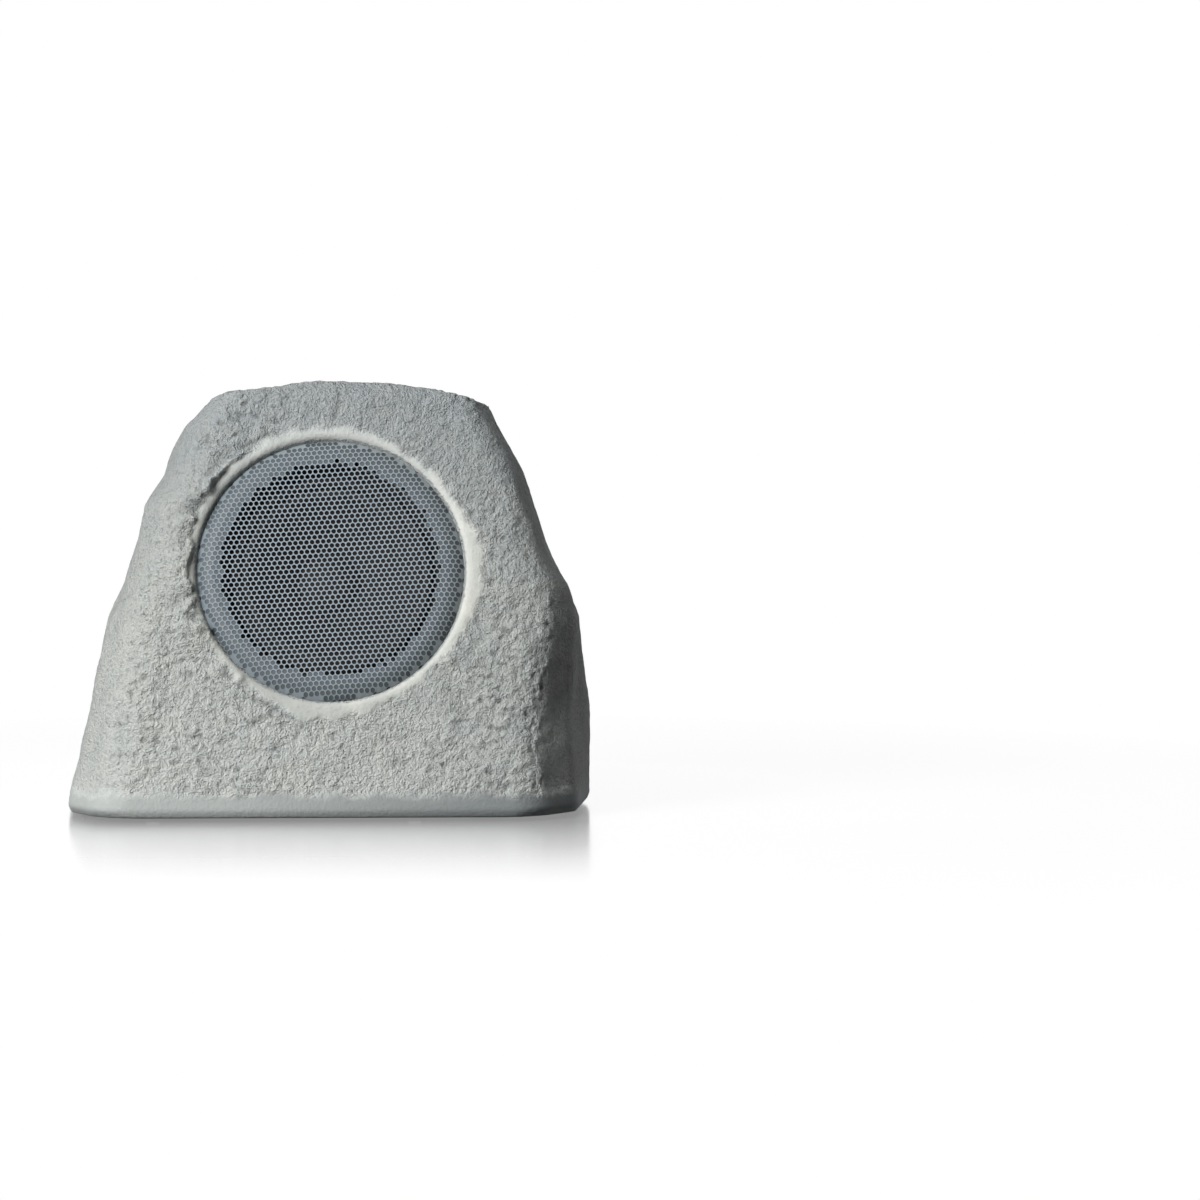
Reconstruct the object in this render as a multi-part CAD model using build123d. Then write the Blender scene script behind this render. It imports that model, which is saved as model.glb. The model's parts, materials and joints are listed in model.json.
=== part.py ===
from build123d import *
import math
import os

# Rock shaped garden speaker: a hollow moulded rock on a screwed base plate, with one
# full-range drive unit behind a perforated steel grille and a cable gland in its back.
# Millimetres, +Z up, +X to the right as seen from the front, front towards -Y.
# The origin lies on the ground under the middle of the rock.

# Rock: overall size, leaning front face, edges and wall
ROCK_WIDTH = 289.0
ROCK_DEPTH = 262.0
ROCK_HEIGHT = 233.5
FACE_TILT = 16.0
SKIRT_RISE = 5.0
FOOT_EDGE = 4.0
CORNER_RADIUS = 26.0
ROOF_RADIUS = 305.0
ROOF_PITCH = 6.0
ROOF_PEAK_X = 6.0
EDGE_CUT = 5.0
WALL = 6.0

# Corners of the rock seen from above, as shares of its reach to each side. The front right
# corner wanders along the front face with the height, and a flank facet follows it
FLANK_SWELL = 0.04
FLANK_BACK = -0.76
PLAN = [
    (1.00, -0.10),
    (0.93, 0.52),
    (0.44, 1.00),
    (-0.46, 1.00),
    (-0.90, 0.58),
    (-1.00, 0.02),
    (-0.98, -0.70),
    (-0.86, -1.00),
]

# Profile of the rock from the skirt up: share of the height, then its reach to the left and
# right as shares of half the width, its reach to the back as a share of half the depth, and
# the place of the front right corner as a share of the reach to the right
PROFILE = [
    (SKIRT_RISE / ROCK_HEIGHT, 1.000, 0.990, 1.00, 0.78),
    (0.222, 0.932, 1.000, 0.91, 0.73),
    (0.440, 0.850, 0.962, 0.79, 0.85),
    (0.521, 0.788, 0.898, 0.74, 0.92),
    (0.613, 0.745, 0.815, 0.70, 0.93),
    (0.697, 0.708, 0.776, 0.65, 0.93),
    (0.765, 0.628, 0.738, 0.60, 0.93),
    (0.882, 0.552, 0.645, 0.52, 0.93),
    (0.958, 0.454, 0.588, 0.45, 0.93),
    (1.060, 0.362, 0.480, 0.36, 0.93),
]

# Grille pocket and the baffle ring behind it
GRILLE_HEIGHT = 133.5
SEAT_DEPTH = 5.5
LIP_RADIUS = 4.0
LIP_TURN = 75.0
LIP_FLARE = 4.0
BAFFLE = 8.0
BAFFLE_MARGIN = 8.0
APERTURE_RADIUS = 60.0

# Perforated grille
GRILLE_RADIUS = 72.0
GRILLE_CLEARANCE = 0.4
GRILLE_SHEET = 1.0
GRILLE_RISE = 6.5
GRILLE_SHOULDER = 10.0
GRILLE_SKIRT = 1.5
HOLE_PITCH = 12.5
HOLE_FLATS = 9.0
HOLE_FIELD_MARGIN = 6.0

# Drive unit frame: pressed basket, its gasket and its screws
DRIVER_GASKET = 2.0
GASKET_GAP = 0.5
FLANGE_RADIUS = 71.0
BASKET_SHEET = 1.2
THROAT_RADIUS = 56.0
SPIDER_SEAT_DEPTH = 28.0
SPIDER_SEAT_OUTER = 40.5
SPIDER_SEAT_INNER = 34.0
BASKET_DEPTH = 38.0
WINDOW_COUNT = 6
WINDOW_WIDTH = 26.0
WINDOW_HEIGHT = 15.0
DRIVER_SCREWS = 4
DRIVER_SCREW_CIRCLE = 65.5
DRIVER_SCREW_RADIUS = 1.5
DRIVER_SCREW_SKIN = 1.7
DRIVER_HEAD_RADIUS = 3.4
DRIVER_HEAD_HEIGHT = 2.4
HOLE_CLEARANCE = 0.5
THREAD_CLEARANCE = 0.1
PILOT_SPARE = 0.6

# Moving parts of the drive unit and what hangs them
CONE_RADIUS = 48.3
CONE_LIP = 3.5
CONE_DEPTH = 21.0
CONE_PAPER = 0.8
SURROUND_SHEET = 0.6
SURROUND_GAP = 0.4
ROLL_FLATS = 6
DUST_CAP_RADIUS = 17.0
DUST_CAP_RISE = 6.0
DUST_CAP_SHEET = 0.6
DUST_CAP_FLATS = 4
FORMER_RADIUS = 13.0
FORMER_SHEET = 0.3
FORMER_HEAD = 0.8
FORMER_TAIL = 1.0
COIL_WIRE = 0.9
COIL_LENGTH = 10.0
SPIDER_SHEET = 0.5
SPIDER_WAVE = 0.9
SPIDER_RIDGES = 5
SPIDER_GAP = 1.0
SPIDER_COLLAR = 2.0

# Magnet system
GAP_CLEARANCE = 0.5
BACK_HOLE_CLEARANCE = 1.1
TOP_PLATE_RADIUS = 38.0
TOP_PLATE = 6.0
MAGNET_RADIUS = 42.0
MAGNET_HOLE = 20.0
MAGNET_HEIGHT = 16.0
YOKE_RADIUS = 37.0
YOKE_PLATE = 6.0
YOKE_CHAMFER = 2.0

# Terminal strip on the basket and the two wires that leave it
STRIP_WIDTH = 22.0
STRIP_LENGTH = 12.0
STRIP_THICK = 1.5
STRIP_GAP = 2.5
TAB_MARGIN = 1.0
TAG_SPACING = 12.0
TAG_WIDTH = 4.0
TAG_LENGTH = 16.0
TAG_PROUD = 6.0
TAG_THICK = 0.8
LEAD_RADIUS = 1.1
LEAD_DROP = 14.0
LEAD_TAIL = 14.0
LEAD_CLEARANCE = 2.0

# Base plate in its rebate, with gasket, screws and feet
STANDOFF = 2.0
RIM_WALL = 9.0
PLATE_CLEARANCE = 0.6
PLATE = 4.0
BASE_GASKET = 1.5
LEDGE = 6.0
LEDGE_WIDTH = 14.0
RIB_HEIGHT = 5.0
RIB_THICK = 2.5
RIB_SPACING = 90.0
RIB_MARGIN = 2.0
BASE_SCREWS = 6
BASE_SCREW_RADIUS = 1.6
BASE_SCREW_LENGTH = 18.0
BASE_HEAD_RADIUS = 3.8
BASE_HEAD_HEIGHT = 2.3
BOSS_RADIUS = 5.0
BOSS_CAP = 4.0
FOOT_RADIUS = 9.0
FOOT_SINK = 1.0
FOOT_INSET_X = 60.0
FOOT_INSET_Y = 60.0
FOOT_CLEARANCE = 0.2

# Cable gland in the back wall
GLAND_HEIGHT = 55.0
PAD_RADIUS = 15.0
PAD_SET = 4.0
PAD_WALL = 10.0
GLAND_SHANK = 8.0
GLAND_CLEARANCE = 0.25
GLAND_BORE = 4.5
GLAND_FLANGE = 4.0
GLAND_FLANGE_MARGIN = 3.0
GLAND_NECK = 7.0
SEAL_WALL = 3.0
SEAL_BORE = 3.4
SEAL_CLEARANCE = 0.1
SEAL_PROUD = 0.6
NUT_WALL = 1.8
NUT_GAP = 0.6
NUT_END = 2.5
LOCKNUT_HEIGHT = 5.0
LOCKNUT_MARGIN = 3.0
THREAD_SHOWN = 2.0

# Terminal block on the base plate
BLOCK_WIDTH = 24.0
BLOCK_DEPTH = 16.0
BLOCK_CAP = 5.0
BLOCK_GAP = 26.0
WIRE_SPACING = 12.0
WIRE_ENTRY = 5.0
WIRE_CLEARANCE = 0.3
CLAMP_RADIUS = 2.0
CLAMP_SPACING = 8.0
CLAMP_RECESS = 1.0
BLOCK_SCREW_RADIUS = 1.5
BLOCK_SCREW_SKIN = 1.0
BLOCK_HEAD_RADIUS = 2.6
BLOCK_HEAD_HEIGHT = 2.0

# Levels and radii that follow from the sizes above
LEAN = math.radians(FACE_TILT)
FAR = 2 * (ROCK_WIDTH + ROCK_DEPTH)
SKIRT_TOP = STANDOFF + SKIRT_RISE
PLATE_TOP = STANDOFF + PLATE
LEDGE_BOTTOM = PLATE_TOP + BASE_GASKET
LEDGE_TOP = LEDGE_BOTTOM + LEDGE
POCKET_RADIUS = GRILLE_RADIUS + GRILLE_CLEARANCE
COIL_RADIUS = FORMER_RADIUS + COIL_WIRE
GAP_OUTER = COIL_RADIUS + GAP_CLEARANCE
GAP_INNER = FORMER_RADIUS - FORMER_SHEET - GAP_CLEARANCE
MAGNET_FRONT = -BASKET_DEPTH - TOP_PLATE
YOKE_FRONT = MAGNET_FRONT - MAGNET_HEIGHT
COIL_MIDDLE = -BASKET_DEPTH - TOP_PLATE / 2
TAB_REACH = TOP_PLATE_RADIUS + STRIP_GAP + STRIP_LENGTH + TAB_MARGIN
TAG_END = TAB_REACH + TAG_PROUD
TAG_BACK = -BASKET_DEPTH - STRIP_THICK - TAG_THICK
SEAL_RADIUS = SEAL_BORE + SEAL_WALL
NECK_END = GLAND_FLANGE + GLAND_NECK
WIRE_Z = PLATE_TOP + RIB_HEIGHT + LEAD_CLEARANCE + LEAD_RADIUS
WIRE_HOLE = LEAD_RADIUS + WIRE_CLEARANCE
BLOCK_TOP = WIRE_Z + WIRE_HOLE + BLOCK_CAP


def front_reach(z):
    """Distance from the middle to the leaning front face at a height."""
    return ROCK_DEPTH / 2 - max(z - SKIRT_TOP, 0) * math.tan(LEAN)


def back_reach(z):
    """Distance from the middle to the back of the rock at a height."""
    for low, high in zip(PROFILE, PROFILE[1:]):
        low_z = STANDOFF + low[0] * ROCK_HEIGHT
        high_z = STANDOFF + high[0] * ROCK_HEIGHT
        if z <= high_z:
            share = (z - low_z) / (high_z - low_z)
            return (low[3] + share * (high[3] - low[3])) * ROCK_DEPTH / 2


def plan_outline(z, row, inset):
    """Closed outline of the rock at one height, drawn in from its surface by the inset."""
    left = row[1] * ROCK_WIDTH / 2
    right = row[2] * ROCK_WIDTH / 2
    back = row[3] * ROCK_DEPTH / 2
    corner = row[4]
    flank = (1 + corner) / 2 + FLANK_SWELL
    points = []
    for x_share, y_share in [(corner, -1.0), (flank, FLANK_BACK)] + PLAN:
        x_reach = left if x_share < 0 else right
        y_reach = front_reach(z) if y_share < 0 else back
        points.append((x_share * (x_reach - inset), y_share * (y_reach - inset), z))
    radius = CORNER_RADIUS * (left + right - 2 * inset) / ROCK_WIDTH
    return FilletPolyline(*points, radius=radius, close=True)


def skirt_prism(bottom, top, inset):
    """Upright block with the outline of the skirt, drawn in by the inset."""
    outline = plan_outline(SKIRT_TOP, PROFILE[0], inset)
    face = make_face(Pos(0, 0, bottom - SKIRT_TOP) * outline)
    return extrude(face, amount=top - bottom, dir=(0, 0, 1))


def rock_form(inset):
    """Solid rock, drawn in from its surface by the inset."""
    sections = [make_face(plan_outline(STANDOFF, PROFILE[0], FOOT_EDGE + inset))]
    for row in PROFILE:
        sections.append(make_face(plan_outline(STANDOFF + row[0] * ROCK_HEIGHT, row, inset)))
    top = STANDOFF + ROCK_HEIGHT
    front_y = -front_reach(top)
    ridge = Pos(ROOF_PEAK_X, front_y, top) * Rot(90 - ROOF_PITCH, 0, 0)
    roof = ridge * Pos(0, -ROOF_RADIUS, 0) * Cylinder(ROOF_RADIUS - inset, FAR)
    body = loft(sections, ruled=True) & roof

    back_y = back_reach(top)
    back_drop = (back_y - front_y) * math.tan(math.radians(ROOF_PITCH))
    lean = math.radians((90 - FACE_TILT - ROOF_PITCH) / 2)
    front_edge = Plane((0, front_y, top), z_dir=(0, -math.sin(lean), math.cos(lean)))
    back_edge = Plane((0, back_y, top - back_drop), z_dir=(0, math.sin(lean), math.cos(lean)))
    bevel = slab(FAR, FAR, FAR, 0, 0, -EDGE_CUT - inset)
    return body - front_edge * bevel - back_edge * bevel


def turned(*points):
    """Solid of revolution about Z from (radius, height) points."""
    outline = Polyline(*[(radius, 0, height) for radius, height in points], close=True)
    return revolve(make_face(outline), Axis.Z)


def ring(inner, outer, bottom, top):
    """Plain ring about Z."""
    return turned((inner, bottom), (outer, bottom), (outer, top), (inner, top))


def disc(radius, bottom, top):
    """Plain round disc or pin about Z."""
    return Pos(0, 0, bottom) * extrude(Circle(radius), amount=top - bottom)


def hexagon(reach, bottom, top):
    """Hexagonal prism about Z, with its flats at the given reach."""
    outline = RegularPolygon(reach, 6, major_radius=False)
    return Pos(0, 0, bottom) * extrude(outline, amount=top - bottom)


def slab(width, depth, height, x, y, bottom):
    """Upright box with its middle at x and y."""
    return Pos(x, y, bottom) * extrude(Rectangle(width, depth), amount=height)


def pressed(thickness, *points):
    """Revolved sheet: the points run inwards along its front, and the thickness lies behind."""
    line = Polyline(*points)
    wall = offset(line, amount=thickness, side=Side.LEFT, kind=Kind.INTERSECTION)
    return revolve(Plane.XZ * make_face(wall), Axis.Z)


def copies(solid, places):
    """Separate copies of a solid, one at each place."""
    return [place * solid for place in places]


def pocket_form():
    """Space of the grille pocket: a straight well that opens in a rounded, flaring lip."""
    lip_start = SEAT_DEPTH - LIP_RADIUS
    mouth = POCKET_RADIUS + LIP_RADIUS
    turn = math.radians(LIP_TURN)
    lip_end = (mouth - LIP_RADIUS * math.cos(turn), lip_start + LIP_RADIUS * math.sin(turn))
    flare_end = (lip_end[0] + LIP_FLARE * math.sin(turn), lip_end[1] + LIP_FLARE * math.cos(turn))
    well = Polyline((0, FAR), (0, 0), (POCKET_RADIUS, 0), (POCKET_RADIUS, lip_start))
    lip = CenterArc((mouth, lip_start), LIP_RADIUS, 180, -LIP_TURN)
    outside = Polyline(lip_end, flare_end, (flare_end[0], FAR), (0, FAR))
    return revolve(Plane.XZ * make_face(well + lip + outside), Axis.Z)


def grille_dish(inset):
    """Solid under the face of the grille, drawn in by the sheet's thickness."""
    edge = GRILLE_RADIUS - inset
    top = GRILLE_RISE - inset
    flat = GRILLE_RADIUS - GRILLE_SHOULDER
    sides = Polyline((0, top), (0, 0), (edge, 0), (edge, GRILLE_SKIRT))
    shoulder = TangentArc((flat, top), (edge, GRILLE_SKIRT), tangent=(1, 0))
    face = Line((0, top), (flat, top))
    return revolve(Plane.XZ * make_face(sides + shoulder + face), Axis.Z)


def grille_hole_places():
    """Staggered places that fill the flat face of the grille."""
    field = GRILLE_RADIUS - GRILLE_SHOULDER - HOLE_FIELD_MARGIN
    row_step = HOLE_PITCH * math.sqrt(3) / 2
    rows = int(field / row_step)
    columns = int(field / HOLE_PITCH) + rows
    places = []
    for row in range(-rows, rows + 1):
        for column in range(-columns, columns + 1):
            x = (column + row / 2) * HOLE_PITCH
            y = row * row_step
            if math.hypot(x, y) <= field:
                places.append(Pos(x, y))
    return places


# Frames: the grille seat on the leaning face, the drive unit's mounting face, the gland's pad
face_point = Vector(0, -front_reach(GRILLE_HEIGHT), GRILLE_HEIGHT)
face_normal = Vector(0, -math.cos(LEAN), math.sin(LEAN))
seat = Plane(face_point - face_normal * SEAT_DEPTH, x_dir=(1, 0, 0), z_dir=face_normal)
drive = seat.offset(-BAFFLE - DRIVER_GASKET)
pad_y = back_reach(GLAND_HEIGHT) - PAD_SET
pad = Plane((0, pad_y, GLAND_HEIGHT), x_dir=(-1, 0, 0), z_dir=(0, 1, 0))

# Places of the fasteners, the feet and the terminal block
seal_line = plan_outline(0, PROFILE[0], RIM_WALL + LEDGE_WIDTH / 2)
base_screw_places = [Pos(*(seal_line @ (i / BASE_SCREWS))) for i in range(BASE_SCREWS)]
driver_screw_places = PolarLocations(DRIVER_SCREW_CIRCLE, DRIVER_SCREWS, 180 / DRIVER_SCREWS)
foot_x = ROCK_WIDTH / 2 - FOOT_INSET_X
foot_y = ROCK_DEPTH / 2 - FOOT_INSET_Y
foot_places = [Pos(x, y) for x in (-foot_x, foot_x) for y in (-foot_y, foot_y)]
gland_tail = PAD_WALL + LOCKNUT_HEIGHT + THREAD_SHOWN
block_y = pad_y - gland_tail - BLOCK_GAP - BLOCK_DEPTH / 2
clamp_x = WIRE_SPACING / 2
clamp_y = CLAMP_SPACING / 2
clamp_places = [Pos(x, block_y + y) for x in (-clamp_x, clamp_x) for y in (-clamp_y, clamp_y)]


def make_rock_shell():
    """Hollow rock with its grille pocket, baffle ring, base rebate and gland pad."""
    outer = rock_form(0)
    cavity = rock_form(WALL) - slab(FAR, FAR, FAR, 0, 0, LEDGE_TOP - FAR)
    cavity += skirt_prism(LEDGE_BOTTOM, LEDGE_TOP, RIM_WALL + LEDGE_WIDTH)
    cavity += skirt_prism(STANDOFF, LEDGE_BOTTOM, RIM_WALL)
    shell = outer - cavity

    shell += seat * disc(POCKET_RADIUS + BAFFLE_MARGIN, -BAFFLE, FAR) & outer
    shell -= seat * pocket_form()
    shell -= seat * disc(APERTURE_RADIUS, -BAFFLE, 0)
    pilot_top = DRIVER_GASKET + BAFFLE - DRIVER_SCREW_SKIN
    pilot = disc(DRIVER_SCREW_RADIUS + THREAD_CLEARANCE, DRIVER_GASKET, pilot_top)
    shell -= [drive * hole for hole in copies(pilot, driver_screw_places)]

    screw_tip = STANDOFF + BASE_SCREW_LENGTH + PILOT_SPARE
    shell += copies(disc(BOSS_RADIUS, LEDGE_TOP, screw_tip + BOSS_CAP), base_screw_places)
    base_pilot = disc(BASE_SCREW_RADIUS + THREAD_CLEARANCE, LEDGE_BOTTOM, screw_tip)
    shell -= copies(base_pilot, base_screw_places)

    shell += pad * disc(PAD_RADIUS + WALL, -PAD_WALL, FAR) & outer
    shell -= pad * disc(PAD_RADIUS, 0, FAR)
    shell -= pad * disc(GLAND_SHANK + GLAND_CLEARANCE, -PAD_WALL, 0)
    return shell


def make_grille():
    """Dished steel sheet with its staggered holes."""
    sheet = grille_dish(0) - grille_dish(GRILLE_SHEET)
    hole = Rot(0, 0, 30) * hexagon(HOLE_FLATS / 2, 0, 2 * GRILLE_RISE)
    return seat * (sheet - copies(hole, grille_hole_places()))


def make_driver_gasket():
    """Foam ring between the baffle and the basket."""
    gasket = ring(APERTURE_RADIUS + GASKET_GAP, FLANGE_RADIUS, 0, DRIVER_GASKET)
    hole = disc(DRIVER_SCREW_RADIUS + HOLE_CLEARANCE, 0, DRIVER_GASKET)
    return drive * (gasket - copies(hole, driver_screw_places))


def make_driver_basket():
    """Pressed steel frame with windows, a seat for the spider and a tab for the terminals."""
    back = BASKET_SHEET - BASKET_DEPTH
    basket = pressed(
        BASKET_SHEET,
        (FLANGE_RADIUS, 0),
        (THROAT_RADIUS, 0),
        (SPIDER_SEAT_OUTER, -SPIDER_SEAT_DEPTH),
        (SPIDER_SEAT_INNER, -SPIDER_SEAT_DEPTH),
        (SPIDER_SEAT_INNER, back),
        (GAP_OUTER + BACK_HOLE_CLEARANCE, back),
    )
    window_middle = (BASKET_SHEET + SPIDER_SEAT_DEPTH) / 2
    window = Pos(0, 0, -window_middle) * Box(2 * FLANGE_RADIUS, WINDOW_WIDTH, WINDOW_HEIGHT)
    window &= ring(SPIDER_SEAT_INNER, FLANGE_RADIUS, -BASKET_DEPTH, -BASKET_SHEET)
    window &= slab(FLANGE_RADIUS, FAR, FAR, FLANGE_RADIUS / 2, 0, -FAR / 2)
    basket -= [Rot(0, 0, 360 * i / WINDOW_COUNT) * window for i in range(WINDOW_COUNT)]
    tab_length = TAB_REACH - SPIDER_SEAT_INNER
    tab_y = -SPIDER_SEAT_INNER - tab_length / 2
    basket += slab(STRIP_WIDTH + 2 * TAB_MARGIN, tab_length, BASKET_SHEET, 0, tab_y, -BASKET_DEPTH)
    hole = disc(DRIVER_SCREW_RADIUS + HOLE_CLEARANCE, -BASKET_SHEET, 0)
    return drive * (basket - copies(hole, driver_screw_places))


def make_driver_screws():
    """Pan-head screws that hold the basket to the baffle from behind."""
    tip = DRIVER_GASKET + BAFFLE - DRIVER_SCREW_SKIN - PILOT_SPARE
    screw = disc(DRIVER_SCREW_RADIUS, -BASKET_SHEET, tip)
    screw += disc(DRIVER_HEAD_RADIUS, -BASKET_SHEET - DRIVER_HEAD_HEIGHT, -BASKET_SHEET)
    return Compound([drive * copy for copy in copies(screw, driver_screw_places)])


def cone_height(radius):
    """Height of the front of the cone at a radius."""
    rim = CONE_RADIUS - CONE_LIP
    return -CONE_DEPTH * (rim - radius) / (rim - FORMER_RADIUS)


def make_cone():
    """Paper cone with a flat lip under the surround."""
    rim = CONE_RADIUS - CONE_LIP
    return drive * pressed(CONE_PAPER, (CONE_RADIUS, 0), (rim, 0), (FORMER_RADIUS, -CONE_DEPTH))


def make_surround():
    """Rubber half roll between the cone's lip and the basket's flange."""
    roll_middle = (THROAT_RADIUS + CONE_RADIUS) / 2
    roll_radius = (THROAT_RADIUS - CONE_RADIUS) / 2
    points = [(APERTURE_RADIUS - SURROUND_GAP, SURROUND_SHEET), (THROAT_RADIUS, SURROUND_SHEET)]
    for i in range(1, ROLL_FLATS):
        turn = math.pi * i / ROLL_FLATS
        height = SURROUND_SHEET + roll_radius * math.sin(turn)
        points.append((roll_middle + roll_radius * math.cos(turn), height))
    points += [(CONE_RADIUS, SURROUND_SHEET), (CONE_RADIUS - CONE_LIP, SURROUND_SHEET)]
    return drive * pressed(SURROUND_SHEET, *points)


def make_dust_cap():
    """Shallow dome over the middle of the cone."""
    sphere = (DUST_CAP_RADIUS**2 + DUST_CAP_RISE**2) / (2 * DUST_CAP_RISE)
    opening = math.asin(DUST_CAP_RADIUS / sphere)
    base = cone_height(DUST_CAP_RADIUS)
    middle = base + DUST_CAP_RISE - sphere
    outside = []
    inside = []
    for i in range(DUST_CAP_FLATS + 1):
        turn = opening * (1 - i / DUST_CAP_FLATS)
        outside.append((sphere * math.sin(turn), middle + sphere * math.cos(turn)))
        inner = sphere - DUST_CAP_SHEET
        inside.append((inner * math.sin(turn), max(middle + inner * math.cos(turn), base)))
    return drive * turned(*outside, *reversed(inside))


def make_voice_coil_former():
    """Thin tube that carries the coil into the magnet's gap."""
    bottom = COIL_MIDDLE - COIL_LENGTH / 2 - FORMER_TAIL
    return drive * ring(FORMER_RADIUS - FORMER_SHEET, FORMER_RADIUS, bottom, FORMER_HEAD - CONE_DEPTH)


def make_voice_coil():
    """Copper winding on the former."""
    half = COIL_LENGTH / 2
    return drive * ring(FORMER_RADIUS, COIL_RADIUS, COIL_MIDDLE - half, COIL_MIDDLE + half)


def make_spider():
    """Corrugated cloth disc that centres the coil."""
    front = SPIDER_SHEET - SPIDER_SEAT_DEPTH
    collar = FORMER_RADIUS + SPIDER_COLLAR
    points = [(SPIDER_SEAT_OUTER - SPIDER_GAP, front), (SPIDER_SEAT_INNER, front)]
    step = (SPIDER_SEAT_INNER - collar) / (SPIDER_RIDGES + 1)
    for i in range(SPIDER_RIDGES):
        points.append((SPIDER_SEAT_INNER - (i + 1) * step, front + SPIDER_WAVE * (-1) ** i))
    points += [(collar, front), (FORMER_RADIUS, front)]
    return drive * pressed(SPIDER_SHEET, *points)


def make_top_plate():
    """Steel ring that closes the magnet's gap from outside."""
    return drive * ring(GAP_OUTER, TOP_PLATE_RADIUS, MAGNET_FRONT, -BASKET_DEPTH)


def make_magnet():
    """Ferrite ring."""
    return drive * ring(MAGNET_HOLE, MAGNET_RADIUS, YOKE_FRONT, MAGNET_FRONT)


def make_pole_yoke():
    """Steel back plate and pole, turned in one."""
    back = YOKE_FRONT - YOKE_PLATE
    return drive * turned(
        (0, back),
        (YOKE_RADIUS - YOKE_CHAMFER, back),
        (YOKE_RADIUS, back + YOKE_CHAMFER),
        (YOKE_RADIUS, YOKE_FRONT),
        (GAP_INNER, YOKE_FRONT),
        (GAP_INNER, -BASKET_DEPTH),
        (0, -BASKET_DEPTH),
    )


def make_terminal_strip():
    """Insulating strip on the basket's tab."""
    y = -TAB_REACH + TAB_MARGIN + STRIP_LENGTH / 2
    return drive * slab(STRIP_WIDTH, STRIP_LENGTH, STRIP_THICK, 0, y, -BASKET_DEPTH - STRIP_THICK)


def make_terminal_tags():
    """Two flat solder tags on the strip."""
    y = -TAG_END + TAG_LENGTH / 2
    tag = slab(TAG_WIDTH, TAG_LENGTH, TAG_THICK, 0, y, TAG_BACK)
    return Compound([drive * (Pos(side * TAG_SPACING / 2) * tag) for side in (-1, 1)])


def make_lead(side):
    """Insulated wire from a solder tag down and back to the terminal block."""
    tag_x = side * TAG_SPACING / 2
    wire_x = side * WIRE_SPACING / 2
    start = drive.from_local_coords((tag_x, -TAG_END, TAG_BACK + TAG_THICK / 2))
    below = drive.from_local_coords((tag_x, -TAG_END - LEAD_DROP, TAG_BACK + TAG_THICK / 2))
    end = Vector(wire_x, block_y - BLOCK_DEPTH / 2 + WIRE_ENTRY, WIRE_Z)
    before = end - Vector(0, LEAD_TAIL, 0)
    points = [start, below]
    for along, height in ((0.12, 0.36), (0.46, 0.04)):
        y = below.Y + along * (before.Y - below.Y)
        z = before.Z + height * (below.Z - before.Z)
        points.append(Vector(tag_x + along * (wire_x - tag_x), y, z))
    points += [before, end]
    radii = []
    for a, b, c in zip(points, points[1:], points[2:]):
        turn = math.radians((b - a).get_angle(c - b))
        radii.append(0.45 * min((b - a).length, (c - b).length) / math.tan(turn / 2))
    path = FilletPolyline(*points, radius=radii)
    return sweep(Plane(path @ 0, z_dir=path % 0) * Circle(LEAD_RADIUS), path=path)


def make_base_plate():
    """Ribbed plate that closes the rock from below."""
    plate = skirt_prism(STANDOFF, PLATE_TOP, RIM_WALL + PLATE_CLEARANCE)
    ribs = Part()
    for side in (-1, 1):
        ribs += slab(RIB_THICK, FAR, RIB_HEIGHT, side * RIB_SPACING / 2, 0, PLATE_TOP)
        ribs += slab(FAR, RIB_THICK, RIB_HEIGHT, 0, side * RIB_SPACING / 2, PLATE_TOP)
    ribs &= skirt_prism(PLATE_TOP, PLATE_TOP + RIB_HEIGHT, RIM_WALL + LEDGE_WIDTH + RIB_MARGIN)
    footprint = (BLOCK_WIDTH + 2 * RIB_MARGIN, BLOCK_DEPTH + 2 * RIB_MARGIN)
    ribs -= slab(*footprint, RIB_HEIGHT, 0, block_y, PLATE_TOP)
    plate += ribs
    hole = disc(BASE_SCREW_RADIUS + HOLE_CLEARANCE, STANDOFF, PLATE_TOP)
    hole += base_screw_head(HOLE_CLEARANCE)
    plate -= copies(hole, base_screw_places)
    recess = disc(FOOT_RADIUS + FOOT_CLEARANCE, STANDOFF, STANDOFF + FOOT_SINK)
    plate -= copies(recess, foot_places)
    pilot = disc(BLOCK_SCREW_RADIUS + THREAD_CLEARANCE, STANDOFF + BLOCK_SCREW_SKIN, PLATE_TOP)
    return plate - Pos(0, block_y) * pilot


def make_base_gasket():
    """Foam ring between the base plate and the rock's ledge."""
    gasket = skirt_prism(PLATE_TOP, LEDGE_BOTTOM, RIM_WALL + PLATE_CLEARANCE)
    gasket -= skirt_prism(PLATE_TOP, LEDGE_BOTTOM, RIM_WALL + LEDGE_WIDTH)
    hole = disc(BASE_SCREW_RADIUS + HOLE_CLEARANCE, PLATE_TOP, LEDGE_BOTTOM)
    return gasket - copies(hole, base_screw_places)


def base_screw_head(growth):
    """Countersunk head of a base screw, grown on its side by a clearance."""
    head_top = STANDOFF + BASE_HEAD_HEIGHT
    return turned(
        (0, STANDOFF),
        (BASE_HEAD_RADIUS + growth, STANDOFF),
        (BASE_SCREW_RADIUS + growth, head_top),
        (0, head_top),
    )


def make_base_screws():
    """Countersunk screws that hold the base plate."""
    screw = disc(BASE_SCREW_RADIUS, STANDOFF, STANDOFF + BASE_SCREW_LENGTH)
    return Compound(copies(screw + base_screw_head(0), base_screw_places))


def make_rubber_feet():
    """Round rubber feet pressed into the base plate."""
    return Compound(copies(disc(FOOT_RADIUS, 0, STANDOFF + FOOT_SINK), foot_places))


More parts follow.
